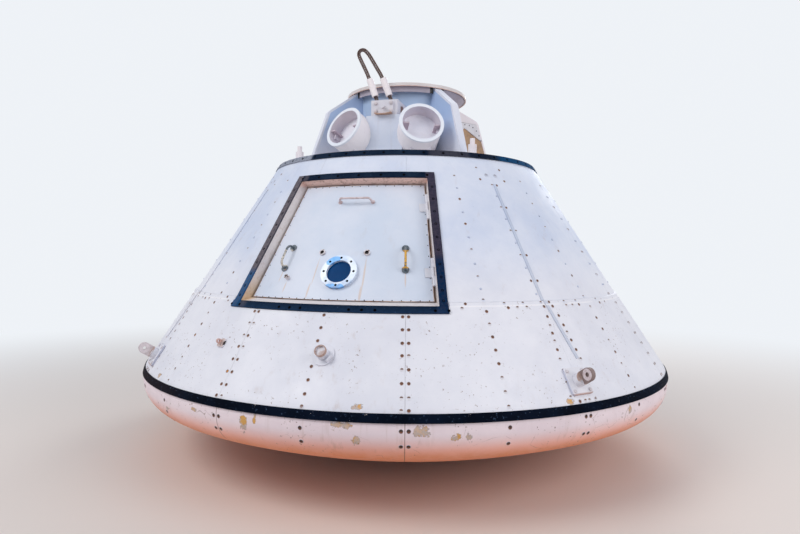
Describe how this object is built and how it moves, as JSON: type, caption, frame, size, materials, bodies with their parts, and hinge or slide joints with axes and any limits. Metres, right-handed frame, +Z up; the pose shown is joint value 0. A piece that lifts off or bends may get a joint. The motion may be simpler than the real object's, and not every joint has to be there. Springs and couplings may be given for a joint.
{
  "type": "space capsule",
  "caption": "Full-size blunt-cone space capsule test article with a side crew hatch, dished base, open parachute bays round a tunnel, mortar tubes and a lifting rope loop.",
  "frame": {"origin": "lowest point of the dished base, on the floor, on the capsule's axis", "axes": "+Z up along the axis; the middle of the crew hatch faces -Y; +X to the right of a viewer who faces the hatch"},
  "size_m": [3.9232, 3.9232, 2.9156],
  "materials": {
    "shield_paint": "weathered, dusty, peeled in patches",
    "hull_paint": "aged gloss white, chalky",
    "reveal_paint": "dirty white, rust at the head",
    "hatch_paint": "aged gloss white",
    "dark_band": "worn black",
    "bay_paint": "aged white, dirty in the corners",
    "rusty_steel": "rusted",
    "steel_rope": "rusted wire rope",
    "worn_steel": "worn and spotted with rust",
    "port_rim": "pale, weathered",
    "port_pane": "dark, painted behind",
    "floor_paint": "matt primer"
  },
  "bodies": {
    "capsule": {"heat_shield": "shield_paint", "cabin_floor": "floor_paint", "hatch_jamb": "reveal_paint", "lower_panel_front": "hull_paint", "lower_panel_right": "hull_paint", "lower_panel_rear": "hull_paint", "lower_panel_left": "hull_paint", "upper_panel_over_hatch": "hull_paint", "upper_panel_front_right": "hull_paint", "upper_panel_right": "hull_paint", "upper_panel_rear": "hull_paint", "upper_panel_left": "hull_paint", "upper_panel_front_left": "hull_paint", "base_band": "dark_band", "rim_band": "dark_band", "seam_battens": "hull_paint", "hatch_trim": "dark_band", "deck": "bay_paint", "tunnel": "bay_paint", "top_cover": "bay_paint", "tunnel_channel": "worn_steel", "gusset_front_right": "bay_paint", "gusset_rear_right": "bay_paint", "gusset_rear_left": "bay_paint", "gusset_front_left": "bay_paint", "gusset_doublers": "worn_steel", "mortar_tube_right": "bay_paint", "mortar_tube_left": "bay_paint", "harness_pedestal": "bay_paint", "mortar_cradles": "bay_paint", "harness_box": "bay_paint", "clamp_plate": "worn_steel", "rope_outer": "steel_rope", "rope_inner": "steel_rope", "rope_sleeves": "bay_paint", "leg_posts": "worn_steel", "lift_lug_front_right": "rusty_steel", "lift_lug_rear_right": "rusty_steel", "lift_lug_rear_left": "rusty_steel", "lift_lug_front_left": "rusty_steel", "tie_lug": "rusty_steel", "stub_fitting": "hull_paint", "hinge_brackets": "worn_steel"},
    "crew_hatch": {"hatch_panel": "hatch_paint", "port_flange": "port_rim", "port_glass": "port_pane", "grab_handles": "worn_steel", "pull_handle": "worn_steel", "latch_sockets": "rusty_steel", "hinge_leaves": "worn_steel"}
  },
  "joints": [
    {"name": "hatch_hinge", "type": "hinge", "parent": "capsule", "child": "crew_hatch", "pos_m": [0.48768, -1.23188, 1.51153], "axis": [-0.2021, 0.5002, 0.842], "range_deg": [0, 100]}
  ]
}
